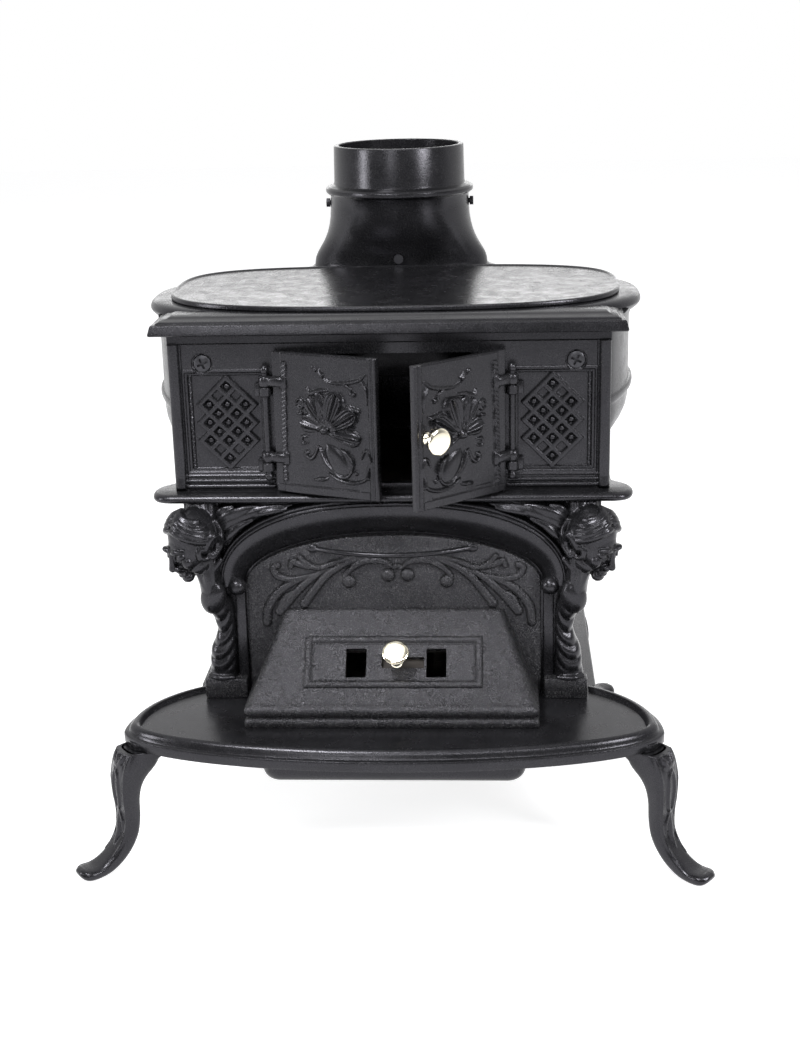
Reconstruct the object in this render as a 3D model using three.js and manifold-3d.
// Small cast-iron parlour stove: an oval hearth on four cabriole legs, a lower front with an arched
// lift-off draught hood between two mask corbels, an upper chamber with two small fire doors and
// bowed sides, and an oval top with an oblong-to-round flue boot.
// Millimetres, +Z up, the front looks along -Y. Every piece is laid out from the face of the upper
// front plate (y = 0) and the group is then moved so that the origin lies on the floor under the middle.
import * as THREE from "three";
import { mergeVertices } from "three/addons/utils/BufferGeometryUtils.js";
import Module from "manifold-3d";

const wasm = await Module();
wasm.setup();
const { Manifold, Mesh } = wasm;

// ---- driving dimensions ---------------------------------------------------------------------
const WALL = 5; // cast wall of the body plates
const FIT = 0.3; // clearance between loose castings
const WELD = 1e-4; // vertices closer than this are one

// levels above the floor
const RIM_FOOT = 105; // underside of the hearth rim and of the leg bosses
const HEARTH_TOP = 118; // tray of the hearth plate
const WEB = 8; // thickness of the hearth tray
const MANTEL_FOOT = 297.5;
const MANTEL_TOP = 304.5;
const MANTEL = { tip: 204, side: 188, nose: -17 }; // plan of the ledge
const MANTEL_HOLE = { half: 130, front: 26, back: 206 };
const UPPER_TOP = 440; // top of the upper walls
const BAND_TOP = 449; // top of the cornice band and of the flue tab
const CORNICE_TOP = 454; // flat on which the oval top rests

// body plan
const FRONT_WIDTH = 368; // upper front plate over the posts
const FRONT_THICK = 6;
const LOWER_WIDTH = 308; // lower walls
const UPPER_SIDE = 181; // outside of the upper side walls at their ends
const BACK_FACE = 222; // inside face of the back panel
const BACK_THICK = 6;
const RIB_X = 110; // upright ribs of the back panel

// hearth
const HEARTH_HALF = 228;
const HEARTH_NOSE = 62; // front half-depth of the oval
const HEARTH_MID = -70; // widest line of the oval
const FLANK_HALF = 128; // half-width of the rear flank curves
const FLANK_DEPTH = 103;
const BASE_HALF = 176; // part of the plate under the body
const BASE_BACK = 240;
const BASE_CORNER = 20;
const FOOTING_HALF = 169; // level ground for the body inside the rim
const FOOTING_FRONT = -16;
const ASH_HALF = 80; // ash opening in the plate
const ASH_FRONT = -58;
const ASH_BACK = 190;

// ash well and pan
const WELL_HALF = 113;
const WELL_FRONT = -71;
const WELL_BACK = 203;
const WELL_FLOOR = 63;
const WELL_WALL = 4;
const WELL_CORNER = 11; // round along the lower edge
const WELL_FLANGE = 8;
const WELL_SCREW = { radius: 2, head: 4.4, deep: 5 };
const PAN_HALF = 76;
const PAN_LENGTH = 122;
const PAN_HEIGHT = 28;
const PAN_WALL = 2.5;
const PAN_BACK_GAP = 8; // air behind the pan in the well

// grate
const GRATE_HALF = 88;
const GRATE_FRONT = 18;
const GRATE_BACK = 200;
const GRATE_THICK = 7;
const GRATE_BARS = 9;
const GRATE_BAR = 9;

// legs
const LEG_FRONT = { x: 208, y: -80, turn: 38 };
const LEG_REAR = { x: 152, y: 222, turn: 38 };
const LEG_PAD = 16; // radius of the bolted pad
const LEG_PAD_THICK = 10;
const BOSS_RADIUS = 14;
const LEG_BOLT = 4;
const LEG_BOLT_DEEP = 9; // thread in the boss
const LEG_SIDES = 10;
const LEG_LEAN = 64; // how far the toe reaches beyond the pad centre

// fireplace opening and hood
const ARCH_HALF = 127;
const ARCH_SPRING = 222;
const ARCH_RISE = 43;
const ARCH_GAP = 2; // air between the arch plate and the cove
const MOUTH_HALF = 112; // hole in the lower front behind the arch plate
const MOUTH_RISE = 30;
const COVE_HALF = 150;
const COVE_RISE = 78;
const COVE_DEEP = 13;
const LOWER_FACE = 1; // face of the lower front plate
const TERMINAL = { x: 138, z: ARCH_SPRING - 1, radius: 6.2 }; // ball at each foot of the cove
const STRIP_WIDE = 9; // upright strip under each ball
const CORBEL_BOLT = { x: 144, z: 150, radius: 2.2, head: 4.4 };
const HANDLE_Z = 253.5;
const HANDLE_RADIUS = 2.3;
const HANDLE_REACH = 46; // control point of the bow, in front of the upper front plate
const RIVET = { x: 66, radius: 1.4 };
const HOOD_THICK = 4.5;
const HOOD_FRONT = -77;
const HOOD_HALF = 124;
const HOOD_FLANGE = 20;
const HOOD_SHOULDER = { half: HOOD_HALF - 3.5, y: HOOD_FRONT + 6, z: HEARTH_TOP + HOOD_FLANGE + 0.5 };
const HOOD_CREST = { half: HOOD_HALF - 30.5, y: -8, z: 199 };
const ARCH_PLATE_FACE = -5;
const ARCH_PLATE_BACK = 0.7;

// draught register, laid out on the sloped face (u across, v up the slope, w outward)
const WINDOW = { u0: -75, u1: 77, v0: -30, v1: 18, bead: 4, proud: 1.6 };
const PORTS = [[-39.5, -22], [29, 46]];
const PORT_V = [-20, 6.4];
const SLOT = { u0: -9, u1: 27, v0: -11.5, v1: -1.5 };
const SLIDER_THICK = 3;
const SLIDER_LEAVES = [-54, 62];
const SLIDER_TRAVEL = 9; // open side of the slider's travel
const RAIL = 3;
const RAIL_HALF = 86;
const KNOB_AT = { u: 4, v: -6.5 };
const KNOB_STEM = 3;

// upper front
const DOOR_OPEN_HALF = 92;
const DOOR_OPEN_FOOT = 310;
const DOOR_OPEN_TOP = 422;
const DOOR_FOOT = 306;
const DOOR_TOP = 426;
const DOOR_EDGE = 95.5; // hinge edge of a shut door
const DOOR_MEET = 0.8; // half the gap between the doors
const DOOR_THICK = 5;
const DOOR_BACK = -0.5;
const DOOR_MIDDLE = (DOOR_FOOT + DOOR_TOP) / 2;
const KNOB_SPINDLE = 2.6;
const KNOB_INSET = 12.5; // knob from the free edge of the door
const LATCH_THICK = 2.8;
const HINGE_X = 102.5;
const HINGE_Y = -6;
const PIN_RADIUS = 2.6;
const EYE_RADIUS = 5.4;
const PIN_CLEAR = 0.25;
const ARM_HEIGHT = 9;
const ARM_FEET = [331.5, 396.5];
const LUG_HEIGHT = 8;
const LEFT_ANGLE = 20.4; // how far the doors stand open
const RIGHT_ANGLE = 40.4;
const SCREW_X = 155.3;
const SCREW_Z = 414.5;
const SCREW_HEAD = 7.8;
const SCREW_SHANK = 3;

// lattice
const LATTICE_X = 136;
const LATTICE_Z = 364;
const CELL = 7.75; // half-diagonal of a lattice cell
const BAR = 4.1;
const LATTICE_CELLS = [[0, 4], [-2, 2], [0, 2], [2, 2], [-1, 1], [1, 1], [-2, 0], [0, 0], [2, 0],
  [-1, -1], [1, -1], [-2, -2], [0, -2], [2, -2], [0, -4]];
const PANEL = { x0: 106, x1: 170, z0: 322.5, z1: 406 };
const PANEL_DEEP = 3;

// sides
const BOW_BAND = 25; // how far the sides swell above the rib
const BOW_WAIST = [[MANTEL_TOP, 0], [346, 0], [349, 11], [353, 19], [360, 24], [374, BOW_BAND],
  [376, BOW_BAND + 3.5], [380, BOW_BAND + 3.5], [382, BOW_BAND], [UPPER_TOP, BOW_BAND]];
const BOW_FULL = 0.7;
const SHELF_THICK = 5;
const SHELF_LIP = 1;

// top
const CORNICE_FRONT = -12.4;
const CORNICE_HALF = 197;
const LOBE = { a: 216, y: 116, b: 110, n: 2.6 };
const TOP = { a: 198, y: 123, b: 110, nFront: 2.8, nBack: 3.6 };
const TOP_THICK = 3.4;
const TOP_BEAD = 1.2;

// flue
const FLUE_X = -3;
const FLUE_Y = 280;
const FLUE_WALL = 4.5;
const PIPE_RADIUS = 62.5;
const BEAD_RADIUS = 71.4;
const FLUE_TOP = 568;
const SPIGOT = { a: 70, b: 31, wall: 4, height: 20 };
const SMOKE = { half: 84, deep: 98, sill: 322, flange: 5, screw: 2.5, head: 5 };
const FLUE_SCREW = 2.5;
const FLUE_SCREW_HEAD = 4.6;
const FLUE_SCREW_Z = 463.6;
const FLUE_SEAT = 42; // flat under the screw head, from the middle of the boot
const PIPE_SCREW = { z: 513, radius: 2.4, head: 4.2, seat: 68 };

// loose plates that line the fire chamber
const LINER_HALF = 136;
const LINER_THICK = 7;
const LINER_TOP = MANTEL_FOOT - 6;
const GROOVE_PITCH = 28;
const GROOVE_WIDE = 8;
const GROOVE_DEEP = 2.5;

// tie rods
const ROD_X = 141;
const ROD_FRONT = 14;
const ROD_REAR = 196;
const ROD_RADIUS = 4;
const ROD_CLEAR = 0.4;
const ROD_HEAD = 7.5;
const ROD_REACH = 7; // thread in the cornice

// the origin: middle of the stove between the nose of the hearth and the back of the flue bead
const STOVE_Y = (HEARTH_NOSE - HEARTH_MID - FLUE_Y - BEAD_RADIUS) / 2;

// ---- finishes -------------------------------------------------------------------------------
const iron = () => new THREE.MeshStandardMaterial({ color: 0x26272a, roughness: 0.5, metalness: 0.5 });
const rawIron = () => new THREE.MeshStandardMaterial({ color: 0x33322f, roughness: 0.75, metalness: 0.5 });
const steel = () => new THREE.MeshStandardMaterial({ color: 0x5c5e61, roughness: 0.45, metalness: 0.9 });
const brass = () => new THREE.MeshStandardMaterial({ color: 0xd9b35a, roughness: 0.22, metalness: 1 });

// ---- helpers --------------------------------------------------------------------------------
function solid(source) {
  const bare = source.clone();
  bare.deleteAttribute("normal");
  bare.deleteAttribute("uv");
  const welded = mergeVertices(bare, WELD);
  return new Manifold(new Mesh({
    numProp: 3,
    vertProperties: new Float32Array(welded.attributes.position.array),
    triVerts: new Uint32Array(welded.index.array),
  }));
}

function geometryOf(body) {
  const mesh = body.getMesh();
  const geometry = new THREE.BufferGeometry();
  geometry.setAttribute("position", new THREE.BufferAttribute(new Float32Array(mesh.vertProperties), 3));
  geometry.setIndex(new THREE.BufferAttribute(new Uint32Array(mesh.triVerts), 1));
  geometry.computeVertexNormals();
  return geometry;
}

function block(x0, x1, y0, y1, z0, z1) {
  const box = new THREE.BoxGeometry(x1 - x0, y1 - y0, z1 - z0);
  box.translate((x0 + x1) / 2, (y0 + y1) / 2, (z0 + z1) / 2);
  return solid(box);
}

// a round bar along an axis from one place to another
function bar(axis, radius, from, to, u, v, sides = 16, endRadius = radius) {
  const round = new THREE.CylinderGeometry(endRadius, radius, to - from, sides);
  round.translate(0, (from + to) / 2, 0);
  if (axis === "x") round.rotateZ(-Math.PI / 2).translate(0, u, v);
  if (axis === "y") round.translate(u, 0, v);
  if (axis === "z") round.rotateX(Math.PI / 2).translate(u, v, 0);
  return solid(round);
}

function ball(radius, x, y, z, scale = [1, 1, 1], detail = 10) {
  const round = new THREE.SphereGeometry(radius, detail, Math.round(detail * 0.6));
  round.scale(...scale).translate(x, y, z);
  return solid(round);
}

// a flat plate standing in the XZ plane, from its outline
function upright(shape, front, back, curveSegments = 16) {
  const plate = new THREE.ExtrudeGeometry(shape, { depth: back - front, bevelEnabled: false, curveSegments });
  plate.rotateX(Math.PI / 2).translate(0, back, 0);
  return solid(plate);
}

// skin through rings of points; the ends are closed by fans, or the last ring joins the first
function loft(rings, ringClosed = false) {
  const count = rings[0].length;
  const points = rings.flat();
  const index = [];
  const links = ringClosed ? rings.length : rings.length - 1;
  for (let i = 0; i < links; i++) {
    const a = i * count;
    const b = ((i + 1) % rings.length) * count;
    for (let j = 0; j < count; j++) {
      const k = (j + 1) % count;
      index.push(a + j, a + k, b + k, a + j, b + k, b + j);
    }
  }
  if (!ringClosed) {
    const last = (rings.length - 1) * count;
    const foot = points.push(middle(rings[0])) - 1;
    const head = points.push(middle(rings[rings.length - 1])) - 1;
    for (let j = 0; j < count; j++) {
      const k = (j + 1) % count;
      index.push(foot, k, j, head, last + j, last + k);
    }
  }
  return skin(points, index);
}

function middle(ring) {
  const sum = new THREE.Vector3();
  for (const point of ring) sum.add(point);
  return sum.divideScalar(ring.length);
}

// closed skin from points and faces, turned to face outward
function skin(points, index) {
  let volume = 0;
  const cross = new THREE.Vector3();
  for (let i = 0; i < index.length; i += 3) {
    cross.crossVectors(points[index[i + 1]], points[index[i + 2]]);
    volume += points[index[i]].dot(cross);
  }
  if (volume < 0) index.reverse();
  const geometry = new THREE.BufferGeometry().setFromPoints(points);
  geometry.setIndex(index);
  return solid(geometry);
}

const join = (...bodies) => Manifold.union(bodies.flat());
const mirrored = (body) => body.mirror([1, 0, 0]);
const radians = THREE.MathUtils.degToRad;

function superellipse({ a, y, b, n, nFront = n, nBack = n, x = 0 }, inset, z, count = 44) {
  const ring = [];
  for (let i = 0; i < count; i++) {
    const angle = (2 * Math.PI * i) / count;
    const c = Math.cos(angle);
    const s = Math.sin(angle);
    const power = 2 / (s < 0 ? nFront : nBack);
    const px = Math.sign(c) * Math.abs(c) ** power * (a - inset);
    const py = Math.sign(s) * Math.abs(s) ** power * (b - inset);
    ring.push(new THREE.Vector3(x + px, y + py, z));
  }
  return ring;
}

function rounded(x0, x1, y0, y1, radius, z, steps = 3) {
  const ring = [];
  const corners = [[x1, y0, -90], [x1, y1, 0], [x0, y1, 90], [x0, y0, 180]];
  for (const [x, y, start] of corners) {
    const cx = x - Math.sign(x - (x0 + x1) / 2) * radius;
    const cy = y - Math.sign(y - (y0 + y1) / 2) * radius;
    for (let i = 0; i <= steps; i++) {
      const angle = radians(start + (90 * i) / steps);
      ring.push(new THREE.Vector3(cx + radius * Math.cos(angle), cy + radius * Math.sin(angle), z));
    }
  }
  return ring;
}

// ---- hearth ---------------------------------------------------------------------------------
function hearthRing(inset, z) {
  const flankX = HEARTH_HALF - FLANK_HALF;
  const ring = [];
  const arc = (cx, a, b, from, to, steps, skip) => {
    for (let i = skip; i <= steps; i++) {
      const angle = radians(from + ((to - from) * i) / steps);
      ring.push(new THREE.Vector3(cx + a * Math.cos(angle), HEARTH_MID + b * Math.sin(angle), z));
    }
  };
  arc(0, HEARTH_HALF - inset, HEARTH_NOSE - inset, 180, 360, 22, 0);
  arc(flankX, FLANK_HALF - inset, FLANK_DEPTH - inset, 0, 90, 7, 1);
  arc(-flankX, FLANK_HALF - inset, FLANK_DEPTH - inset, 90, 180, 7, 0);
  ring.pop();
  return ring;
}

function hearthPlate() {
  const under = HEARTH_TOP - WEB;
  const tray = loft([
    hearthRing(13, under), hearthRing(11, RIM_FOOT), hearthRing(0.8, RIM_FOOT), hearthRing(0, RIM_FOOT + 1),
    hearthRing(0, RIM_FOOT + 8), hearthRing(1.2, RIM_FOOT + 9), hearthRing(4, RIM_FOOT + 9.4),
    hearthRing(5.2, RIM_FOOT + 12.4), hearthRing(8, RIM_FOOT + 15.4), hearthRing(11, RIM_FOOT + 16.4),
    hearthRing(13.5, RIM_FOOT + 15.8), hearthRing(15.5, HEARTH_TOP),
  ]);
  const base = loft([
    rounded(-BASE_HALF, BASE_HALF, 0, BASE_BACK, BASE_CORNER, under),
    rounded(-BASE_HALF, BASE_HALF, 0, BASE_BACK, BASE_CORNER, HEARTH_TOP),
  ]);
  const footing = join(
    block(-FOOTING_HALF, FOOTING_HALF, FOOTING_FRONT, BASE_BACK, HEARTH_TOP, HEARTH_TOP + 9),
    block(-FOOTING_HALF, FOOTING_HALF, -10, 60, RIM_FOOT - 1, under));
  const bosses = legSeats().map(({ x, y }) => bar("z", BOSS_RADIUS, RIM_FOOT, under + 1, x, y));
  const holes = legSeats().map(({ x, y }) =>
    bar("z", LEG_BOLT + FIT, RIM_FOOT - 1, RIM_FOOT + LEG_BOLT_DEEP + FIT, x, y, 12));
  const rods = rodSeats().map(([x, y]) =>
    bar("z", ROD_RADIUS + ROD_CLEAR, RIM_FOOT, HEARTH_TOP + 1, x, y, 12));
  const ash = block(-ASH_HALF, ASH_HALF, ASH_FRONT, ASH_BACK, RIM_FOOT, HEARTH_TOP + 1);
  const { radius, deep } = WELL_SCREW;
  const screws = wellScrewSeats().map(([x, y]) =>
    bar("z", radius + FIT, under - 1, under + deep + FIT, x, y, 10));
  return join(join(tray, base).subtract(footing), bosses).subtract(join(holes, rods, ash, screws));
}

function ashWell() {
  const top = HEARTH_TOP - WEB;
  const tub = (wall, z, inset) => rounded(
    -WELL_HALF + wall + inset, WELL_HALF - wall - inset,
    WELL_FRONT + wall + inset, WELL_BACK - wall - inset, 16, z);
  const rings = (wall, floor) => [
    tub(wall, floor, WELL_CORNER), tub(wall, floor + WELL_CORNER * 0.13, WELL_CORNER * 0.5),
    tub(wall, floor + WELL_CORNER * 0.5, WELL_CORNER * 0.13), tub(wall, floor + WELL_CORNER, 0),
  ];
  const outer = loft([...rings(0, WELL_FLOOR), tub(0, top, 0)]);
  const inner = loft([...rings(WELL_WALL, WELL_FLOOR + WELL_WALL), tub(WELL_WALL, top + 1, 0)]);
  const flange = loft([tub(-WELL_FLANGE, top - WELL_WALL, 0), tub(-WELL_FLANGE, top, 0)]);
  const screws = wellScrewSeats().map(([x, y]) =>
    bar("z", WELL_SCREW.radius + FIT, top - 9, top + 1, x, y, 10));
  const rods = rodSeats().map(([x, y]) => bar("z", ROD_RADIUS * 2 + 1, top - 9, top + 1, x, y, 12));
  return join(outer, flange).subtract(join(inner, screws, rods));
}

function wellScrewSeats() {
  const x = WELL_HALF + WELL_FLANGE / 2;
  return [[-x, WELL_FRONT + 30], [x, WELL_FRONT + 30], [-x, WELL_BACK - 40], [x, WELL_BACK - 40]];
}

function wellScrew([x, y]) {
  const foot = HEARTH_TOP - WEB - WELL_WALL;
  const { radius, head, deep } = WELL_SCREW;
  return join(bar("z", head, foot - 3, foot, x, y, 6),
    bar("z", radius, foot, foot + WELL_WALL + deep, x, y, 10));
}

function ashPan() {
  const floor = WELL_FLOOR + WELL_WALL;
  const back = WELL_BACK - WELL_WALL - PAN_BACK_GAP;
  const front = back - PAN_LENGTH;
  const tray = (inset, z) =>
    rounded(-PAN_HALF + inset, PAN_HALF - inset, front + inset, back - inset, 8, z);
  const outer = loft([tray(4, floor), tray(0, floor + PAN_HEIGHT)]);
  const inner = loft([tray(4 + PAN_WALL, floor + PAN_WALL), tray(PAN_WALL, floor + PAN_HEIGHT + 1)]);
  const lip = block(-22, 22, front - 9, front + 1, floor + PAN_HEIGHT - 3, floor + PAN_HEIGHT);
  return join(outer, lip).subtract(inner);
}

function grate() {
  const foot = HEARTH_TOP;
  const frame = loft([
    rounded(-GRATE_HALF, GRATE_HALF, GRATE_FRONT, GRATE_BACK, 6, foot),
    rounded(-GRATE_HALF, GRATE_HALF, GRATE_FRONT, GRATE_BACK, 6, foot + GRATE_THICK),
  ]);
  const rim = 14;
  const pitch = (2 * (GRATE_HALF - rim) + GRATE_BAR) / GRATE_BARS;
  const gaps = [];
  for (let i = 0; i < GRATE_BARS; i++) {
    const x = -GRATE_HALF + rim + i * pitch;
    gaps.push(block(x, x + pitch - GRATE_BAR, GRATE_FRONT + rim, GRATE_BACK - rim,
      foot - 1, foot + GRATE_THICK + 1));
  }
  return frame.subtract(join(gaps));
}

// ---- legs -----------------------------------------------------------------------------------
function legSeats() {
  return [
    { ...LEG_FRONT, x: -LEG_FRONT.x }, LEG_FRONT,
    { ...LEG_REAR, x: -LEG_REAR.x }, LEG_REAR,
  ];
}

// a cabriole leg in its own plane: r outward, z up; [r, z, half-thickness, half-width]
function legStations() {
  const knee = LEG_LEAN * 0.3;
  return [
    [4, RIM_FOOT, 19, 15], [9, 98, 18, 15], [knee - 3, 88, 14, 15], [knee + 1, 76, 10.5, 14],
    [knee + 2, 62, 8.6, 12.5], [knee + 1.5, 46, 7.8, 11], [knee + 4, 31, 7.4, 10.5],
    [knee + 12, 18, 7, 10.5], [knee + 24, 8.6, 6.4, 11], [LEG_LEAN * 0.84, 4.8, 5.6, 12],
    [LEG_LEAN, 4.8, 5.2, 12], [LEG_LEAN + 5, 6.6, 3.8, 9], [LEG_LEAN + 7.5, 8.4, 1.8, 4],
  ];
}

function legBody() {
  const stations = legStations();
  const rings = stations.map(([r, z, thick, wide], i) => {
    const before = stations[Math.max(i - 1, 0)];
    const after = stations[Math.min(i + 1, stations.length - 1)];
    const run = new THREE.Vector2(after[0] - before[0], after[1] - before[1]).normalize();
    if (i === 0) run.set(0, -1);
    const ring = [];
    for (let k = 0; k < LEG_SIDES; k++) {
      const angle = (2 * Math.PI * k) / LEG_SIDES;
      const off = Math.sin(angle) * thick;
      ring.push(new THREE.Vector3(r - run.y * off, Math.cos(angle) * wide, z + run.x * off));
    }
    return ring;
  });
  const pad = bar("z", LEG_PAD, RIM_FOOT - LEG_PAD_THICK, RIM_FOOT, 0, 0, 20);
  const pocket = bar("z", 9.5, RIM_FOOT - 60, RIM_FOOT - LEG_PAD_THICK, 0, 0, 16);
  const hole = bar("z", LEG_BOLT + FIT, RIM_FOOT - 40, RIM_FOOT + 1, 0, 0, 12);
  return join(loft(rings), pad).subtract(join(pocket, hole)).trimByPlane([0, 0, 1], 0)
    .trimByPlane([0, 0, -1], -RIM_FOOT);
}

// the leg turned outward from its seat
function legAt({ x, y, turn }) {
  const heading = y < 0 ? -turn : turn;
  const facing = x < 0 ? 180 - heading : heading;
  return legBody().rotate([0, 0, facing]).translate([x, y, 0]);
}

function legBolt({ x, y }) {
  const seat = RIM_FOOT - LEG_PAD_THICK;
  return join(bar("z", 7.5, seat - 5, seat, x, y, 6),
    bar("z", LEG_BOLT, seat, RIM_FOOT + LEG_BOLT_DEEP, x, y, 12));
}

// ---- lower body -----------------------------------------------------------------------------
function archPoint(half, rise, power, angle) {
  const c = Math.cos(angle);
  const s = Math.sin(angle);
  const x = Math.sign(c) * Math.abs(c) ** (2 / power) * half;
  return [x, ARCH_SPRING + Math.abs(s) ** (2 / power) * rise];
}

function archShape(half, rise, foot) {
  const shape = new THREE.Shape();
  shape.moveTo(-half, foot);
  shape.lineTo(half, foot);
  shape.lineTo(half, ARCH_SPRING);
  shape.absellipse(0, ARCH_SPRING, half, rise, 0, Math.PI);
  shape.closePath();
  return shape;
}

// the broad round moulding over the hood, from one ball terminal to the other
function coveRoll(grow = 0) {
  const rings = [];
  const stations = 26;
  for (let i = 0; i <= stations; i++) {
    const angle = (Math.PI * i) / stations;
    const [ix, iz] = archPoint(ARCH_HALF + ARCH_GAP, ARCH_RISE + ARCH_GAP, 2, angle);
    const [ox, oz] = archPoint(COVE_HALF + grow, COVE_RISE + grow, 2.4, angle);
    const ring = [new THREE.Vector3(ix, LOWER_FACE + 2, iz)];
    for (let k = 0; k <= 5; k++) {
      const t = k / 5;
      const y = LOWER_FACE - 2 - grow - COVE_DEEP * Math.sin(radians(100) * t);
      ring.push(new THREE.Vector3(ix + (ox - ix) * t, y, iz + (oz - iz) * t));
    }
    ring.push(new THREE.Vector3(ox, LOWER_FACE + 2, oz));
    rings.push(ring);
  }
  return loft(rings).trimByPlane([0, 0, -1], -MANTEL_FOOT);
}

// ball on the left foot of the cove
function coveTerminal(grow) {
  return ball(TERMINAL.radius + grow, -TERMINAL.x, LOWER_FACE - 8, TERMINAL.z);
}

function lowerFront() {
  const half = LOWER_WIDTH / 2;
  const outline = new THREE.Shape();
  outline.moveTo(-half, HEARTH_TOP);
  outline.lineTo(half, HEARTH_TOP);
  outline.lineTo(half, MANTEL_FOOT);
  outline.lineTo(-half, MANTEL_FOOT);
  outline.closePath();
  const plate = upright(outline, LOWER_FACE, LOWER_FACE + FRONT_THICK);
  const mouth = upright(archShape(MOUTH_HALF, MOUTH_RISE, HEARTH_TOP - 1),
    LOWER_FACE - 1, LOWER_FACE + FRONT_THICK + 1);
  const inner = ARCH_HALF + ARCH_GAP;
  const strip = block(inner, inner + STRIP_WIDE, LOWER_FACE - 6, LOWER_FACE + 1,
    HEARTH_TOP + 20, ARCH_SPRING + 1);
  const strips = [strip, mirrored(strip)];
  const balls = [coveTerminal(0), mirrored(coveTerminal(0))];
  const bolts = [-1, 1].map((side) =>
    bar("y", CORBEL_BOLT.radius + FIT, LOWER_FACE - 1, LOWER_FACE + FRONT_THICK + 1,
      side * CORBEL_BOLT.x, CORBEL_BOLT.z, 10));
  return join(plate, coveRoll(), strips, balls).subtract(join(mouth, bolts));
}

// left corbel: stem drapery, then the bent neck and the head under the mantel
function corbel() {
  const base = LOWER_FACE;
  // z, outer x, inner x, front y
  const stem = [
    [HEARTH_TOP, 167, 129.5, -15], [136, 166, 129.5, -15], [137.6, 163, 139.5, -11], [152, 164, 139.5, -13],
    [161, 164.5, 139.5, -15], [172, 158, 139.5, -13], [182, 156, 139.5, -13], [194, 159, 139.5, -16],
    [203, 165, 139.8, -21], [211, 168, 140.5, -25], [218, 166, 146, -25], [228, 170, 150.5, -27],
    [244, 178, 151, -28], [262, 184, 151, -27], [280, 187, 151, -24], [MANTEL_FOOT, 186, 152, -14],
  ];
  const rings = stem.map(([z, outer, inner, front]) => {
    const wide = (outer - inner) / 2;
    const mid = (outer + inner) / 2;
    const ring = [new THREE.Vector3(-outer, base, z), new THREE.Vector3(-inner, base, z)];
    for (let k = 0; k <= 6; k++) {
      const angle = (Math.PI * k) / 6;
      const x = mid - Math.cos(angle) * wide * (k % 6 ? 0.96 : 1);
      const y = base - 2 + (front - base + 2) * Math.sin(angle) ** 0.6;
      ring.push(new THREE.Vector3(-x, y, z));
    }
    return ring;
  });
  const head = maskHead();
  const bolt = bar("y", CORBEL_BOLT.radius + FIT, base - 10, base + 1, -CORBEL_BOLT.x, CORBEL_BOLT.z, 10);
  return join(loft(rings), head).trimByPlane([0, 0, -1], -MANTEL_FOOT)
    .subtract(join(bolt, coveRoll(FIT), coveTerminal(FIT)));
}

// a plain grotesque mask of its own design, looking outward and down
function maskHead() {
  const parts = [
    ball(1, 0, 0, 0, [17, 21, 27], 12), // skull
    ball(1, 0, -17, 6, [13, 5, 3.5], 8), // brow
    ball(1, 0, -21, -3, [3.6, 6, 7.5], 8), // nose
    ball(1, -8, -16, -6, [5.5, 5, 5], 6), // cheeks
    ball(1, 8, -16, -6, [5.5, 5, 5], 6),
    ball(1, 0, -18, -14, [7, 4.5, 2.6], 8), // lips
    ball(1, 0, -13, -22, [7, 7, 6], 8), // chin
    ball(1, -12, -6, 19, [8, 9, 8], 7), // hair locks
    ball(1, 0, -11, 22, [8, 9, 7], 7),
    ball(1, 12, -6, 19, [8, 9, 8], 7),
    ball(1, 15, 2, 0, [5, 8, 10], 6), // ears
    ball(1, -15, 2, 0, [5, 8, 10], 6),
  ];
  return join(parts).rotate([24, 0, 0]).rotate([0, 0, -48]).translate([-180, -16, 264]);
}

function corbelBolt() {
  const back = LOWER_FACE + FRONT_THICK;
  const { x, z, radius, head } = CORBEL_BOLT;
  return join(bar("y", head, back, back + 2.5, -x, z, 6), bar("y", radius, LOWER_FACE - 9, back, -x, z, 10));
}

function lowerSide() {
  const outer = LOWER_WIDTH / 2;
  const front = LOWER_FACE + FRONT_THICK;
  const wall = block(-outer, -outer + WALL, front, BACK_FACE, HEARTH_TOP, MANTEL_FOOT);
  const edge = 14;
  const inner = edge + 8;
  const field = block(-outer - 1, -outer + 1.5, front + edge, BACK_FACE - edge,
    HEARTH_TOP + edge, MANTEL_FOOT - edge);
  const raised = block(-outer, -outer + 2, front + inner, BACK_FACE - inner,
    HEARTH_TOP + inner, MANTEL_FOOT - inner);
  return wall.subtract(field).add(raised);
}

function mantelRing(inset, z) {
  const shape = new THREE.Shape();
  const tip = MANTEL.tip - inset;
  const side = MANTEL.side - inset;
  const nose = MANTEL.nose + inset;
  shape.moveTo(-side, BACK_FACE);
  shape.lineTo(-side, 34);
  shape.bezierCurveTo(-side, 20, -tip, 20, -tip, 4);
  shape.bezierCurveTo(-tip, -10, -tip + 6, nose, -tip + 18, nose);
  shape.lineTo(tip - 18, nose);
  shape.bezierCurveTo(tip - 6, nose, tip, -10, tip, 4);
  shape.bezierCurveTo(tip, 20, side, 20, side, 34);
  shape.lineTo(side, BACK_FACE);
  return shape.getPoints(5).map((p) => new THREE.Vector3(p.x, p.y, z));
}

function mantelFrame() {
  const plate = loft([
    mantelRing(3.2, MANTEL_FOOT), mantelRing(0.8, MANTEL_FOOT + 1), mantelRing(0, MANTEL_FOOT + 3),
    mantelRing(0.8, MANTEL_FOOT + 5.2), mantelRing(2.6, MANTEL_FOOT + 6.6), mantelRing(4.5, MANTEL_TOP),
  ]);
  const { half, front, back } = MANTEL_HOLE;
  const opening = loft([
    rounded(-half, half, front, back, 10, MANTEL_FOOT - 1),
    rounded(-half, half, front, back, 10, MANTEL_TOP + 1),
  ]);
  const rods = rodSeats().map(([x, y]) =>
    bar("z", ROD_RADIUS + ROD_CLEAR, MANTEL_FOOT - 1, MANTEL_TOP + 1, x, y, 12));
  return plate.subtract(join(opening, rods));
}

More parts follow.
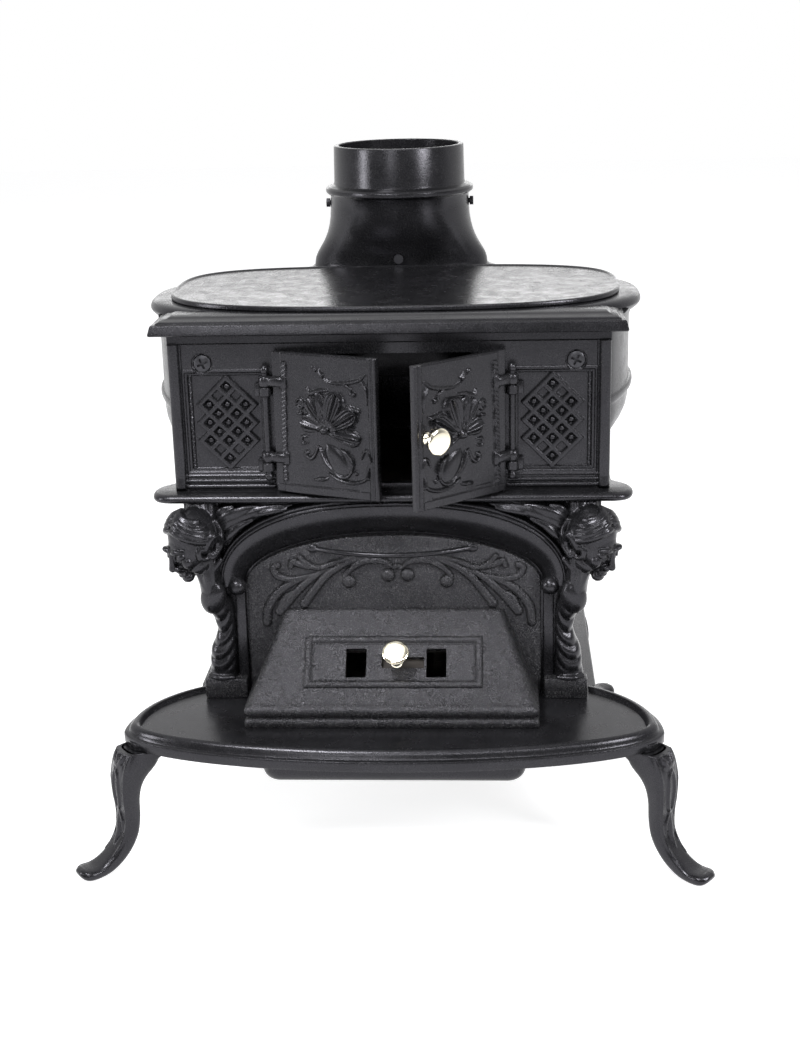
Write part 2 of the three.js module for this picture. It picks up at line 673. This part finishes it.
// ---- upper front ----------------------------------------------------------------------------
function diamond(x, z, half, front, back) {
  const shape = new THREE.Shape();
  shape.moveTo(x - half, z);
  shape.lineTo(x, z - half);
  shape.lineTo(x + half, z);
  shape.lineTo(x, z + half);
  shape.closePath();
  return upright(shape, front, back);
}

// a panel of woven bars: every cell a raised diamond with its middle sunk
function lattice(side) {
  const reach = CELL + BAR / Math.SQRT2;
  const hollow = CELL - BAR / Math.SQRT2;
  const cells = LATTICE_CELLS.map(([i, j]) =>
    diamond(side * LATTICE_X + i * CELL, LATTICE_Z + j * CELL, reach, -0.4, PANEL_DEEP + 0.5));
  const holes = LATTICE_CELLS.map(([i, j]) =>
    diamond(side * LATTICE_X + i * CELL, LATTICE_Z + j * CELL, hollow, -1, PANEL_DEEP));
  return join(cells).subtract(join(holes));
}

function upperFront() {
  const half = FRONT_WIDTH / 2;
  const web = block(-half, half, 0, FRONT_THICK, MANTEL_TOP, UPPER_TOP);
  const opening = block(-DOOR_OPEN_HALF, DOOR_OPEN_HALF, -1, FRONT_THICK + 1, DOOR_OPEN_FOOT, DOOR_OPEN_TOP);
  const cut = [opening, block(-half - 1, half + 1, -1, 1.6, UPPER_TOP - 9, UPPER_TOP + 1)];
  const add = [];
  for (const side of [-1, 1]) {
    const [x0, x1] = side < 0 ? [-PANEL.x1, -PANEL.x0] : [PANEL.x0, PANEL.x1];
    cut.push(block(x0, x1, -1, PANEL_DEEP, PANEL.z0, PANEL.z1));
    cut.push(bar("y", SCREW_HEAD + 0.9, -1, 1.2, side * SCREW_X, SCREW_Z, 16));
    cut.push(bar("y", SCREW_HEAD + 0.5, 1.2, 5.4, side * SCREW_X, SCREW_Z, 16, SCREW_SHANK + FIT));
    cut.push(bar("y", SCREW_SHANK + FIT, 5, FRONT_THICK + 1, side * SCREW_X, SCREW_Z, 16));
    add.push(lattice(side));
    for (const edge of [half - 2, half - 6.5]) {
      add.push(bar("z", 1.9, MANTEL_TOP + 12, UPPER_TOP - 9, side * edge, 0.2, 10));
    }
    for (const foot of ARM_FEET) add.push(hingeLug(side, foot - FIT - LUG_HEIGHT));
  }
  for (const z of [MANTEL_TOP + 4, MANTEL_TOP + 11]) {
    const rib = bar("x", 1.8, DOOR_EDGE + 1.5, half - 1, 0.2, z, 8);
    add.push(rib, mirrored(rib));
  }
  return join(web.subtract(join(cut)), add).subtract(opening);
}

function hingeLug(side, foot) {
  const root = block(HINGE_X - EYE_RADIUS, HINGE_X + EYE_RADIUS, HINGE_Y, 1, foot, foot + LUG_HEIGHT);
  const eye = bar("z", EYE_RADIUS, foot, foot + LUG_HEIGHT, HINGE_X, HINGE_Y, 16);
  const hole = bar("z", PIN_RADIUS + PIN_CLEAR, foot - 1, foot + LUG_HEIGHT + 1, HINGE_X, HINGE_Y, 12);
  const lug = join(root, eye).subtract(hole);
  return side < 0 ? mirrored(lug) : lug;
}

function frontScrew(side) {
  const head = bar("y", SCREW_HEAD, 0.9, 5.4, side * SCREW_X, SCREW_Z, 16, SCREW_SHANK);
  const shank = bar("y", SCREW_SHANK, 5, FRONT_THICK + 15, side * SCREW_X, SCREW_Z, 12);
  const across = block(-4, 4, 0, 2.6, -0.9, 0.9);
  const down = block(-0.9, 0.9, 0, 2.6, -4, 4);
  const drive = join(across, down).rotate([0, 25 * side, 0]).translate([side * SCREW_X, 0, SCREW_Z]);
  return join(head, shank).subtract(drive);
}

// a door in its shut place beside the pin axis, for the right-hand side
function door(hasKnob) {
  const x0 = DOOR_MEET - HINGE_X;
  const x1 = DOOR_EDGE - HINGE_X;
  const back = DOOR_BACK - HINGE_Y;
  const front = back - DOOR_THICK;
  const slab = block(x0, x1, front + 1, back, DOOR_FOOT, DOOR_TOP);
  const step = block(x0 + 2, x1 - 1, front, front + 2, DOOR_FOOT + 2, DOOR_TOP - 1.5);
  const field = block(x0 + 9, x1 - 13, front - 1, front + 1.4, DOOR_FOOT + 12, DOOR_TOP - 9);
  const arms = ARM_FEET.map((foot) => join(
    block(x1 - 9, 0, front - 2.6, front + 2, foot, foot + ARM_HEIGHT),
    bar("z", EYE_RADIUS, foot, foot + ARM_HEIGHT, 0, 0, 16)));
  const pins = bar("z", PIN_RADIUS + PIN_CLEAR, DOOR_FOOT, DOOR_TOP, 0, 0, 12);
  let leaf = join(slab, step).subtract(field);
  leaf = join(leaf, flower((x0 + x1) / 2 - 2, front + 1.6, (DOOR_FOOT + DOOR_TOP) / 2), arms).subtract(pins);
  if (hasKnob) {
    leaf = leaf.subtract(bar("y", KNOB_SPINDLE + FIT, front - 3, back + 1, doorKnobX(), DOOR_MIDDLE, 12));
  }
  return leaf;
}

const doorKnobX = () => DOOR_MEET + KNOB_INSET - HINGE_X;

// an open flower in low relief with leaves above and below
function flower(x, y, z) {
  const petals = [];
  for (let k = 0; k < 5; k++) {
    const angle = radians(90 + 72 * k);
    petals.push(ball(1, 0, 0, 0, [12, 1.6, 6.5], 6).translate([11, 0, 0])
      .rotate([0, -THREE.MathUtils.radToDeg(angle), 0]).translate([x, y, z]));
  }
  const heart = ball(1, x, y, z, [4.5, 3, 4.5], 8);
  const leaves = [-1, 1].map((end) =>
    ball(1, x + end * 8, y, z + end * 33, [5, 1.5, 13], 6));
  return join(petals, heart, leaves);
}

function hingePin() {
  const foot = ARM_FEET[0] - LUG_HEIGHT - 4;
  const top = ARM_FEET[1] + ARM_HEIGHT + 4;
  return join(
    bar("z", PIN_RADIUS, foot, top, -HINGE_X, HINGE_Y, 12),
    ball(3.8, -HINGE_X, HINGE_Y, foot - 1),
    ball(3.8, -HINGE_X, HINGE_Y, top + 1));
}

// turned knob: [radius, distance along its axis]
function knob(stem, neck, disc, length) {
  const profile = [[0, 0], [stem, 0], [stem, neck], [5.4, neck], [5.4, neck + 1.8], [3.6, neck + 4],
    [3.2, length - 6], [5, length - 4], [disc - 0.8, length - 3.2], [disc, length - 2.2],
    [disc - 0.6, length - 1], [disc * 0.6, length - 0.3], [0, length]];
  const points = profile.map(([r, h]) => new THREE.Vector2(r, h));
  return solid(new THREE.LatheGeometry(points, 16));
}

function doorKnob() {
  const tail = LATCH_THICK + 0.8;
  const back = DOOR_BACK - HINGE_Y + tail;
  const through = DOOR_THICK + tail;
  return knob(KNOB_SPINDLE, through + 0.2, 11.2, through + 18).rotate([180, 0, 0])
    .translate([doorKnobX(), back, DOOR_MIDDLE]);
}

function doorLatch() {
  const front = DOOR_BACK - HINGE_Y + FIT;
  const tongue = loft([
    rounded(-5.5, 5.5, -6, 22, 4, 0), rounded(-5.5, 5.5, -6, 22, 4, LATCH_THICK),
  ]).rotate([90, 0, 0]).translate([0, LATCH_THICK, 0]);
  const hole = bar("y", KNOB_SPINDLE + 0.1, -1, 4, 0, 0, 12);
  return tongue.subtract(hole).translate([doorKnobX(), front, DOOR_MIDDLE]);
}

// ---- hood -----------------------------------------------------------------------------------
const SLOPE = Math.atan2(HOOD_CREST.z - HOOD_SHOULDER.z, HOOD_CREST.y - HOOD_SHOULDER.y);
const SLOPE_MID = [0, (HOOD_CREST.y + HOOD_SHOULDER.y) / 2, (HOOD_CREST.z + HOOD_SHOULDER.z) / 2];
const onSlope = (body) => body.rotate([THREE.MathUtils.radToDeg(SLOPE), 0, 0]).translate(SLOPE_MID);

function hoodRing(half, front, z, wall, back) {
  return rounded(-half + wall, half - wall, front + wall, back, 1.5, z, 2);
}

function hoodShell() {
  const back = ARCH_PLATE_BACK;
  const foot = HEARTH_TOP;
  const bead = foot + HOOD_FLANGE / 2;
  const outer = loft([
    hoodRing(HOOD_HALF, HOOD_FRONT, foot, 0, back),
    hoodRing(HOOD_HALF, HOOD_FRONT, bead - 1.5, 0, back),
    hoodRing(HOOD_HALF - 2, HOOD_FRONT + 2, bead, 0, back),
    hoodRing(HOOD_HALF, HOOD_FRONT, bead + 1.5, 0, back),
    hoodRing(HOOD_HALF, HOOD_FRONT, foot + HOOD_FLANGE - 2, 0, back),
    hoodRing(HOOD_HALF - 2, HOOD_FRONT + 2, foot + HOOD_FLANGE, 0, back),
    hoodRing(HOOD_SHOULDER.half, HOOD_SHOULDER.y, HOOD_SHOULDER.z, 0, back),
    hoodRing(HOOD_CREST.half, HOOD_CREST.y, HOOD_CREST.z, 0, back),
  ]);
  const open = back + 2;
  const inside = (z) => {
    const share = (z - HOOD_SHOULDER.z) / (HOOD_CREST.z - HOOD_SHOULDER.z);
    const half = HOOD_SHOULDER.half + (HOOD_CREST.half - HOOD_SHOULDER.half) * share;
    const face = HOOD_SHOULDER.y + (HOOD_CREST.y - HOOD_SHOULDER.y) * share;
    return hoodRing(half, face + HOOD_THICK / Math.sin(SLOPE) - HOOD_THICK, z, HOOD_THICK, open);
  };
  const inner = loft([
    hoodRing(HOOD_HALF - 3, HOOD_FRONT + 3, foot - 1, HOOD_THICK, open),
    hoodRing(HOOD_HALF - 3, HOOD_FRONT + 3, foot + HOOD_FLANGE - 5, HOOD_THICK, open),
    inside(HOOD_SHOULDER.z - 2), inside(HOOD_CREST.z - 9),
  ]);
  return { outer, inner };
}

function frontHood() {
  const { outer, inner } = hoodShell();
  const arch = upright(archShape(ARCH_HALF, ARCH_RISE, HEARTH_TOP), ARCH_PLATE_FACE, ARCH_PLATE_BACK, 12);
  const { u0, u1, v0, v1, bead, proud } = WINDOW;
  const frame = block(u0, u1, v0, v1, -1, proud)
    .subtract(block(u0 + bead, u1 - bead, v0 + bead, v1 - bead, -2, proud + 1));
  const ports = PORTS.map(([a, b]) => block(a, b, PORT_V[0], PORT_V[1], -9, 4));
  const slot = block(SLOT.u0, SLOT.u1, SLOT.v0, SLOT.v1, -6, 4);
  const rivets = [-1, 1].map((side) =>
    bar("y", RIVET.radius + 0.2, ARCH_PLATE_FACE - 1, ARCH_PLATE_FACE + 3, side * RIVET.x, HANDLE_Z, 8));
  return join(join(outer, arch).subtract(inner), onSlope(join(frame, hoodRails())))
    .subtract(join(onSlope(join(ports, slot)), rivets));
}

// the two L-shaped runners that hold the slider against the inside of the slope
function hoodRails() {
  const roof = -HOOD_THICK + 1;
  const lip = -HOOD_THICK - SLIDER_THICK - 2 * FIT;
  const foot = lip - 2;
  return [[PORT_V[0] - 3, -1], [PORT_V[1] + 3, 1]].flatMap(([v, way]) => {
    const between = (from, to) => [v + way * from, v + way * to].sort((a, b) => a - b);
    const [a, b] = between(FIT, FIT + RAIL);
    const [c, d] = between(-2.4, FIT + RAIL);
    return [block(-RAIL_HALF, RAIL_HALF, a, b, foot, roof), block(-RAIL_HALF, RAIL_HALF, c, d, foot, lip)];
  });
}

// a thin bow handle with its ends riveted into the arch plate
function hoodHandle() {
  const bow = new THREE.QuadraticBezierCurve3(
    new THREE.Vector3(-71, ARCH_PLATE_FACE + 3, HANDLE_Z),
    new THREE.Vector3(0, -HANDLE_REACH, HANDLE_Z),
    new THREE.Vector3(71, ARCH_PLATE_FACE + 3, HANDLE_Z));
  const round = new THREE.Shape().absarc(0, 0, HANDLE_RADIUS, 0, 2 * Math.PI);
  const rod = solid(new THREE.ExtrudeGeometry(round, { steps: 16, extrudePath: bow, curveSegments: 4 }));
  const rivets = [-1, 1].map((side) =>
    bar("y", RIVET.radius, ARCH_PLATE_FACE - 2, ARCH_PLATE_FACE + 2.6, side * RIVET.x, HANDLE_Z, 8));
  return join(rod.trimByPlane([0, -1, 0], -ARCH_PLATE_FACE), rivets);
}

function draughtSlider() {
  const top = -HOOD_THICK - FIT;
  const plate = block(SLIDER_LEAVES[0], SLIDER_LEAVES[1], PORT_V[0] - 3 + FIT, PORT_V[1] + 3 - FIT,
    top - SLIDER_THICK, top);
  const ports = PORTS.map(([a, b]) => block(a, b + SLIDER_TRAVEL, PORT_V[0], PORT_V[1], top - 5, top + 1));
  const stem = bar("z", KNOB_STEM + 0.1, top - 6, top + 1, KNOB_AT.u, KNOB_AT.v, 12);
  return onSlope(plate.subtract(join(ports, stem)));
}

function sliderKnob() {
  const root = -HOOD_THICK - FIT - SLIDER_THICK;
  return onSlope(knob(KNOB_STEM, -root + 0.4, 11.3, -root + 24).rotate([90, 0, 0])
    .translate([KNOB_AT.u, KNOB_AT.v, root]));
}

// ---- upper body -----------------------------------------------------------------------------
// plan of the bowed side: outward places along the wall, front to back
function bowPlan(swell, steps = 14) {
  const plan = [];
  for (let k = 0; k <= steps; k++) {
    const t = k / steps;
    const x = UPPER_SIDE + swell * Math.sin(Math.PI * t) ** BOW_FULL;
    plan.push([x, FRONT_THICK + (BACK_FACE - FRONT_THICK) * t]);
  }
  return plan;
}

// bowed side wall, whose swell follows the waist, rib and band
function bowedSide() {
  const front = FRONT_THICK;
  const rings = BOW_WAIST.map(([z, swell]) => ({
    outside: bowPlan(swell).map(([x, y]) => new THREE.Vector3(-x, y, z)),
    inside: bowPlan(swell).map(([x, y]) => new THREE.Vector3(-x + WALL, y, z)),
  }));
  const wall = stripWall(rings);
  const lug = block(-UPPER_SIDE + 2, -SCREW_X + 3, front, front + 12, SCREW_Z - 9, SCREW_Z + 9);
  const hole = bar("y", SCREW_SHANK + FIT, front - 1, front + 18, -SCREW_X, SCREW_Z, 12);
  return join(wall, lug).subtract(hole);
}

// a thin wall between two sheets of points, closed along its four edges
function stripWall(rings) {
  const across = rings[0].outside.length;
  const points = rings.flatMap(({ outside, inside }) => [...outside, ...inside]);
  const at = (row, column, face) => row * 2 * across + face * across + column;
  const index = [];
  const quad = (a, b, c, d) => index.push(a, b, c, a, c, d);
  for (let i = 0; i < rings.length - 1; i++) {
    for (let k = 0; k < across - 1; k++) {
      quad(at(i, k, 0), at(i, k + 1, 0), at(i + 1, k + 1, 0), at(i + 1, k, 0));
      quad(at(i, k, 1), at(i + 1, k, 1), at(i + 1, k + 1, 1), at(i, k + 1, 1));
    }
    quad(at(i, 0, 0), at(i + 1, 0, 0), at(i + 1, 0, 1), at(i, 0, 1));
    quad(at(i, across - 1, 0), at(i, across - 1, 1), at(i + 1, across - 1, 1), at(i + 1, across - 1, 0));
  }
  const top = rings.length - 1;
  for (let k = 0; k < across - 1; k++) {
    quad(at(0, k, 0), at(0, k, 1), at(0, k + 1, 1), at(0, k + 1, 0));
    quad(at(top, k, 0), at(top, k + 1, 0), at(top, k + 1, 1), at(top, k, 1));
  }
  return skin(points, index);
}

function backPanel() {
  const lower = LOWER_WIDTH / 2;
  const shape = new THREE.Shape();
  shape.moveTo(-lower, HEARTH_TOP);
  shape.lineTo(lower, HEARTH_TOP);
  shape.lineTo(lower, MANTEL_TOP);
  shape.lineTo(UPPER_SIDE, MANTEL_TOP);
  shape.lineTo(UPPER_SIDE, UPPER_TOP);
  shape.lineTo(-UPPER_SIDE, UPPER_TOP);
  shape.lineTo(-UPPER_SIDE, MANTEL_TOP);
  shape.lineTo(-lower, MANTEL_TOP);
  shape.closePath();
  const back = BACK_FACE + BACK_THICK;
  const plate = upright(shape, BACK_FACE, back);
  const rib = block(RIB_X - 4, RIB_X + 4, back - 1, back + 4, HEARTH_TOP, UPPER_TOP - 6);
  const ribs = [rib, mirrored(rib)];
  const flueHalf = SMOKE.half - 16;
  const flue = block(FLUE_X - flueHalf, FLUE_X + flueHalf, BACK_FACE - 1, back + 5,
    SMOKE.sill + 30, UPPER_TOP - 8);
  const screws = smokeScrewSeats().map(([x, z]) =>
    bar("y", SMOKE.screw + FIT, BACK_FACE - 1, back + 1, x, z, 10));
  return join(plate, ribs).subtract(join(flue, screws));
}

function smokeScrewSeats() {
  const x = SMOKE.half + 6;
  return [[FLUE_X - x, 346], [FLUE_X + x, 346], [FLUE_X - x, 424], [FLUE_X + x, 424]];
}

// half-round shaft on the back that carries smoke up into the flue boot
function bayRing(half, deep, z, front) {
  const ring = [];
  const steps = 16;
  for (let k = 0; k <= steps; k++) {
    const angle = (Math.PI * k) / steps;
    const c = Math.cos(angle);
    const x = Math.sign(c) * Math.abs(c) ** 0.8 * half;
    ring.push(new THREE.Vector3(FLUE_X + x, front + deep * Math.sin(angle) ** 0.8, z));
  }
  return ring;
}

function smokeBox() {
  const front = BACK_FACE + BACK_THICK;
  const { half, deep, sill, flange } = SMOKE;
  const outer = loft([
    bayRing(half * 0.8, 6, sill, front), bayRing(half * 0.92, deep * 0.5, sill + 14, front),
    bayRing(half, deep * 0.86, sill + 36, front), bayRing(half, deep, sill + 60, front),
    bayRing(half, deep, UPPER_TOP, front),
  ]);
  const inside = half - WALL;
  const inner = loft([
    bayRing(inside * 0.86, deep * 0.4, sill + 20, front - 1),
    bayRing(inside, deep * 0.78, sill + 38, front - 1),
    bayRing(inside, deep - WALL, sill + 62, front - 1),
    bayRing(inside, deep - WALL, UPPER_TOP + 1, front - 1),
  ]);
  const x = half + 13;
  const plate = block(FLUE_X - x, FLUE_X + x, front, front + flange, sill + 6, UPPER_TOP);
  const screws = smokeScrewSeats().map(([sx, z]) =>
    bar("y", SMOKE.screw + FIT, front - 1, front + flange + 1, sx, z, 10));
  return join(outer, plate).subtract(join(inner, screws));
}

function smokeScrew([x, z]) {
  const face = BACK_FACE + BACK_THICK + SMOKE.flange;
  return join(bar("y", SMOKE.head, face, face + 4, x, z, 6),
    bar("y", SMOKE.screw, BACK_FACE - 3, face, x, z, 10));
}

// ---- top ------------------------------------------------------------------------------------
function cornice() {
  const bandRing = (inset, back, z) => [
    new THREE.Vector3(-CORNICE_HALF + inset, CORNICE_FRONT + inset, z),
    new THREE.Vector3(CORNICE_HALF - inset, CORNICE_FRONT + inset, z),
    new THREE.Vector3(CORNICE_HALF - inset, back, z),
    new THREE.Vector3(-CORNICE_HALF + inset, back, z),
  ];
  const band = loft([
    bandRing(0, 42, UPPER_TOP), bandRing(1.8, 42, UPPER_TOP + 8), bandRing(2.6, 41, BAND_TOP),
    bandRing(5.4, 40, BAND_TOP + 0.2), bandRing(9, 36, BAND_TOP + 2), bandRing(17, 28, CORNICE_TOP),
  ]);
  const lobe = loft([
    superellipse(LOBE, 9, UPPER_TOP), superellipse(LOBE, 3, UPPER_TOP + 3),
    superellipse(LOBE, 0, UPPER_TOP + 7), superellipse(LOBE, 1, UPPER_TOP + 11),
    superellipse(LOBE, 6, CORNICE_TOP - 0.6), superellipse(LOBE, 10, CORNICE_TOP),
  ]);
  const shelf = loft([shelfRing(UPPER_TOP), shelfRing(UPPER_TOP + SHELF_THICK)]);
  const tabPlan = { a: 95, b: 55, y: FLUE_Y, n: 2.2, x: FLUE_X };
  const tab = loft([superellipse(tabPlan, 0, UPPER_TOP, 36), superellipse(tabPlan, 0, BAND_TOP, 36)]);
  const spigotPlan = { a: SPIGOT.a, b: SPIGOT.b, y: FLUE_Y, n: 2.2, x: FLUE_X };
  const spigot = loft([
    superellipse(spigotPlan, 0, UPPER_TOP + 1, 36), superellipse(spigotPlan, 0, BAND_TOP + SPIGOT.height, 36),
  ]);
  const flue = loft([
    superellipse(spigotPlan, SPIGOT.wall, UPPER_TOP - 1, 36),
    superellipse(spigotPlan, SPIGOT.wall, BAND_TOP + SPIGOT.height + 1, 36),
  ]);
  const well = { a: 164, b: 76, y: TOP.y - 4, n: 3 };
  const opening = loft([
    superellipse(well, 0, UPPER_TOP - 1, 32), superellipse(well, 0, CORNICE_TOP + 1, 32),
  ]);
  const rods = rodSeats().map(([x, y]) =>
    bar("z", ROD_RADIUS + ROD_CLEAR, UPPER_TOP - 1, UPPER_TOP + ROD_REACH + ROD_CLEAR, x, y, 12));
  const screws = [-1, 1].map((way) => {
    const wall = FLUE_Y + way * (SPIGOT.b - 3);
    return bar("y", FLUE_SCREW + FIT, wall - 5, wall + 5, FLUE_X, FLUE_SCREW_Z, 10);
  });
  return join(band, lobe, shelf, tab, spigot).subtract(join(flue, opening, rods, screws));
}

// low shelf that closes the top of the bowed sides and of the back panel
function shelfRing(z) {
  const side = bowPlan(BOW_BAND).map(([x, y]) => new THREE.Vector3(x + SHELF_LIP, y, z));
  const rear = new THREE.Vector3(UPPER_SIDE + SHELF_LIP, BACK_FACE + BACK_THICK + SHELF_LIP, z);
  const right = [...side, rear];
  return [...right, ...right.map((p) => new THREE.Vector3(-p.x, p.y, z)).reverse()];
}

function topCover() {
  const field = CORNICE_TOP + TOP_THICK;
  return loft([
    superellipse(TOP, 1.6, CORNICE_TOP), superellipse(TOP, 0, CORNICE_TOP + 1),
    superellipse(TOP, 0, field), superellipse(TOP, 1.2, field + TOP_BEAD),
    superellipse(TOP, 3.2, field + TOP_BEAD), superellipse(TOP, 4.4, field),
  ]);
}

// [z, half-width, half-depth] of the boot from its oblong foot to the round pipe end
function bootProfile() {
  return [
    [BAND_TOP, 88, 45], [BAND_TOP + 3, 88, 45], [BAND_TOP + 3.6, 85, 41.5], [458, 84.5, 41.5],
    [466, 81.5, 44], [476, 75.5, 50], [486, 71, 57], [500, 68, 62.5], [521, 67, 66],
    [524, BEAD_RADIUS, BEAD_RADIUS], [528, BEAD_RADIUS, BEAD_RADIUS],
    [531, PIPE_RADIUS + 0.6, PIPE_RADIUS + 0.6],
    [FLUE_TOP - 1.2, PIPE_RADIUS, PIPE_RADIUS], [FLUE_TOP, PIPE_RADIUS - 1, PIPE_RADIUS - 1],
  ];
}

function flueBoot() {
  const oval = (z, a, b) => superellipse({ a, b, y: FLUE_Y, n: 2, x: FLUE_X }, 0, z, 28);
  const outside = bootProfile();
  const inside = [
    [FLUE_TOP, 58, 58], [500, 60.5, 57.5], [486, 66, 52.4], [476, 70.6, 45.6], [466, 76.6, 39.6],
    [458, 79.6, 37], [BAND_TOP, 80, 36.6],
  ];
  const rings = [...outside, ...inside].map(([z, a, b]) => oval(z, a, b));
  const screws = [
    bar("y", FLUE_SCREW + FIT, FLUE_Y - 50, FLUE_Y - 30, FLUE_X, FLUE_SCREW_Z, 10),
    bar("y", FLUE_SCREW + FIT, FLUE_Y + 30, FLUE_Y + 50, FLUE_X, FLUE_SCREW_Z, 10),
    bar("y", FLUE_SCREW_HEAD + 0.6, FLUE_Y - 60, FLUE_Y - FLUE_SEAT, FLUE_X, FLUE_SCREW_Z, 16),
    bar("y", FLUE_SCREW_HEAD + 0.6, FLUE_Y + FLUE_SEAT, FLUE_Y + 60, FLUE_X, FLUE_SCREW_Z, 16),
    bar("x", PIPE_SCREW.radius + FIT, FLUE_X - 76, FLUE_X - 50, FLUE_Y, PIPE_SCREW.z, 10),
    bar("x", PIPE_SCREW.radius + FIT, FLUE_X + 50, FLUE_X + 76, FLUE_Y, PIPE_SCREW.z, 10),
  ];
  return loft(rings, true).subtract(join(screws));
}

// way is -1 for the front screw and 1 for the rear one
function flueScrew(way) {
  const head = bar("y", FLUE_SCREW_HEAD, -FLUE_SEAT - 3.4, -FLUE_SEAT, 0, FLUE_SCREW_Z, 12);
  const shank = bar("y", FLUE_SCREW, -FLUE_SEAT, -SPIGOT.b + 3, 0, FLUE_SCREW_Z, 10);
  const body = join(head, shank);
  return (way < 0 ? body : body.mirror([0, 1, 0])).translate([FLUE_X, FLUE_Y, 0]);
}

function pipeScrew(side) {
  const { z, radius, head: wide, seat } = PIPE_SCREW;
  const head = bar("x", wide, seat, seat + 3.5, 0, z, 10);
  const shank = bar("x", radius, seat - 7, seat, 0, z, 10);
  const body = join(head, shank);
  return (side > 0 ? body : mirrored(body)).translate([FLUE_X, FLUE_Y, 0]);
}

// ---- inside ---------------------------------------------------------------------------------
function rodSeats() {
  return [[-ROD_X, ROD_FRONT], [ROD_X, ROD_FRONT], [-ROD_X, ROD_REAR], [ROD_X, ROD_REAR]];
}

function tieRod([x, y]) {
  const under = HEARTH_TOP - WEB;
  return join(bar("z", ROD_HEAD, under - 7, under, x, y, 6),
    bar("z", ROD_RADIUS, under, UPPER_TOP + ROD_REACH, x, y, 12));
}

// places of the grooves between two ends, evenly about the middle
function grooveSeats(from, to) {
  const count = Math.floor((to - from) / GROOVE_PITCH);
  const first = (from + to - (count - 1) * GROOVE_PITCH) / 2;
  return Array.from({ length: count }, (_, i) => first + i * GROOVE_PITCH);
}

function backLiner() {
  const front = BACK_FACE - LINER_THICK;
  const plate = block(-LINER_HALF, LINER_HALF, front, BACK_FACE, HEARTH_TOP, LINER_TOP);
  const grooves = grooveSeats(-LINER_HALF, LINER_HALF).map((x) =>
    block(x - GROOVE_WIDE / 2, x + GROOVE_WIDE / 2, front - 1, front + GROOVE_DEEP,
      HEARTH_TOP + 12, LINER_TOP - 12));
  return plate.subtract(join(grooves));
}

function sideLiner() {
  const outer = -LOWER_WIDTH / 2 + WALL;
  const inner = outer + LINER_THICK;
  const [front, back] = [ROD_FRONT + 12, ROD_REAR - 12];
  const plate = block(outer, inner, front, back, HEARTH_TOP, LINER_TOP);
  const grooves = grooveSeats(front, back).map((y) =>
    block(inner - GROOVE_DEEP, inner + 1, y - GROOVE_WIDE / 2, y + GROOVE_WIDE / 2,
      HEARTH_TOP + 12, LINER_TOP - 12));
  return plate.subtract(join(grooves));
}

// ---- assembly -------------------------------------------------------------------------------
const stove = new THREE.Group();
stove.name = "parlour_stove";
stove.position.y = STOVE_Y;

function place(name, body, finish, parent = stove) {
  const mesh = new THREE.Mesh(geometryOf(body), finish());
  mesh.name = name;
  parent.add(mesh);
}

place("hearth_plate", hearthPlate(), iron);
place("ash_well", ashWell(), iron);
place("ash_pan", ashPan(), rawIron);
place("grate", grate(), rawIron);
const legNames = ["front_left", "front_right", "rear_left", "rear_right"];
legSeats().forEach((seat, i) => {
  place(`leg_${legNames[i]}`, legAt(seat), iron);
  place(`leg_bolt_${legNames[i]}`, legBolt(seat), steel);
});
wellScrewSeats().forEach((seat, i) => place(`ash_well_screw_${legNames[i]}`, wellScrew(seat), steel));

place("lower_front", lowerFront(), iron);
place("corbel_left", corbel(), iron);
place("corbel_right", mirrored(corbel()), iron);
place("corbel_bolt_left", corbelBolt(), steel);
place("corbel_bolt_right", mirrored(corbelBolt()), steel);
place("lower_side_left", lowerSide(), iron);
place("lower_side_right", mirrored(lowerSide()), iron);
place("mantel_frame", mantelFrame(), iron);

place("upper_front", upperFront(), iron);
place("front_screw_left", frontScrew(-1), steel);
place("front_screw_right", frontScrew(1), steel);
place("bowed_side_left", bowedSide(), iron);
place("bowed_side_right", mirrored(bowedSide()), iron);
place("back_panel", backPanel(), iron);
place("smoke_box", smokeBox(), iron);
smokeScrewSeats().forEach((seat, i) => place(`smoke_box_screw_${i + 1}`, smokeScrew(seat), steel));

place("cornice", cornice(), iron);
place("top_cover", topCover(), iron);
place("flue_boot", flueBoot(), iron);
place("flue_screw_front", flueScrew(-1), steel);
place("flue_screw_rear", flueScrew(1), steel);
place("pipe_screw_left", pipeScrew(-1), steel);
place("pipe_screw_right", pipeScrew(1), steel);

rodSeats().forEach((seat, i) => place(`tie_rod_${legNames[i]}`, tieRod(seat), steel));
place("back_liner", backLiner(), rawIron);
place("side_liner_left", sideLiner(), rawIron);
place("side_liner_right", mirrored(sideLiner()), rawIron);

place("hinge_pin_left", hingePin(), steel);
place("hinge_pin_right", mirrored(hingePin()), steel);

const leftHinge = new THREE.Group();
leftHinge.position.set(-HINGE_X, HINGE_Y, 0);
leftHinge.rotation.z = -radians(LEFT_ANGLE);
stove.add(leftHinge);
place("left_door", mirrored(door(false)), iron, leftHinge);

const rightHinge = new THREE.Group();
rightHinge.position.set(HINGE_X, HINGE_Y, 0);
rightHinge.rotation.z = radians(RIGHT_ANGLE);
stove.add(rightHinge);
place("right_door", door(true), iron, rightHinge);
place("door_knob", doorKnob(), brass, rightHinge);
place("door_latch", doorLatch(), steel, rightHinge);

place("front_hood", frontHood(), iron);
place("hood_handle", hoodHandle(), steel);
place("draught_slider", draughtSlider(), steel);
place("slider_knob", sliderKnob(), brass);

export default stove;
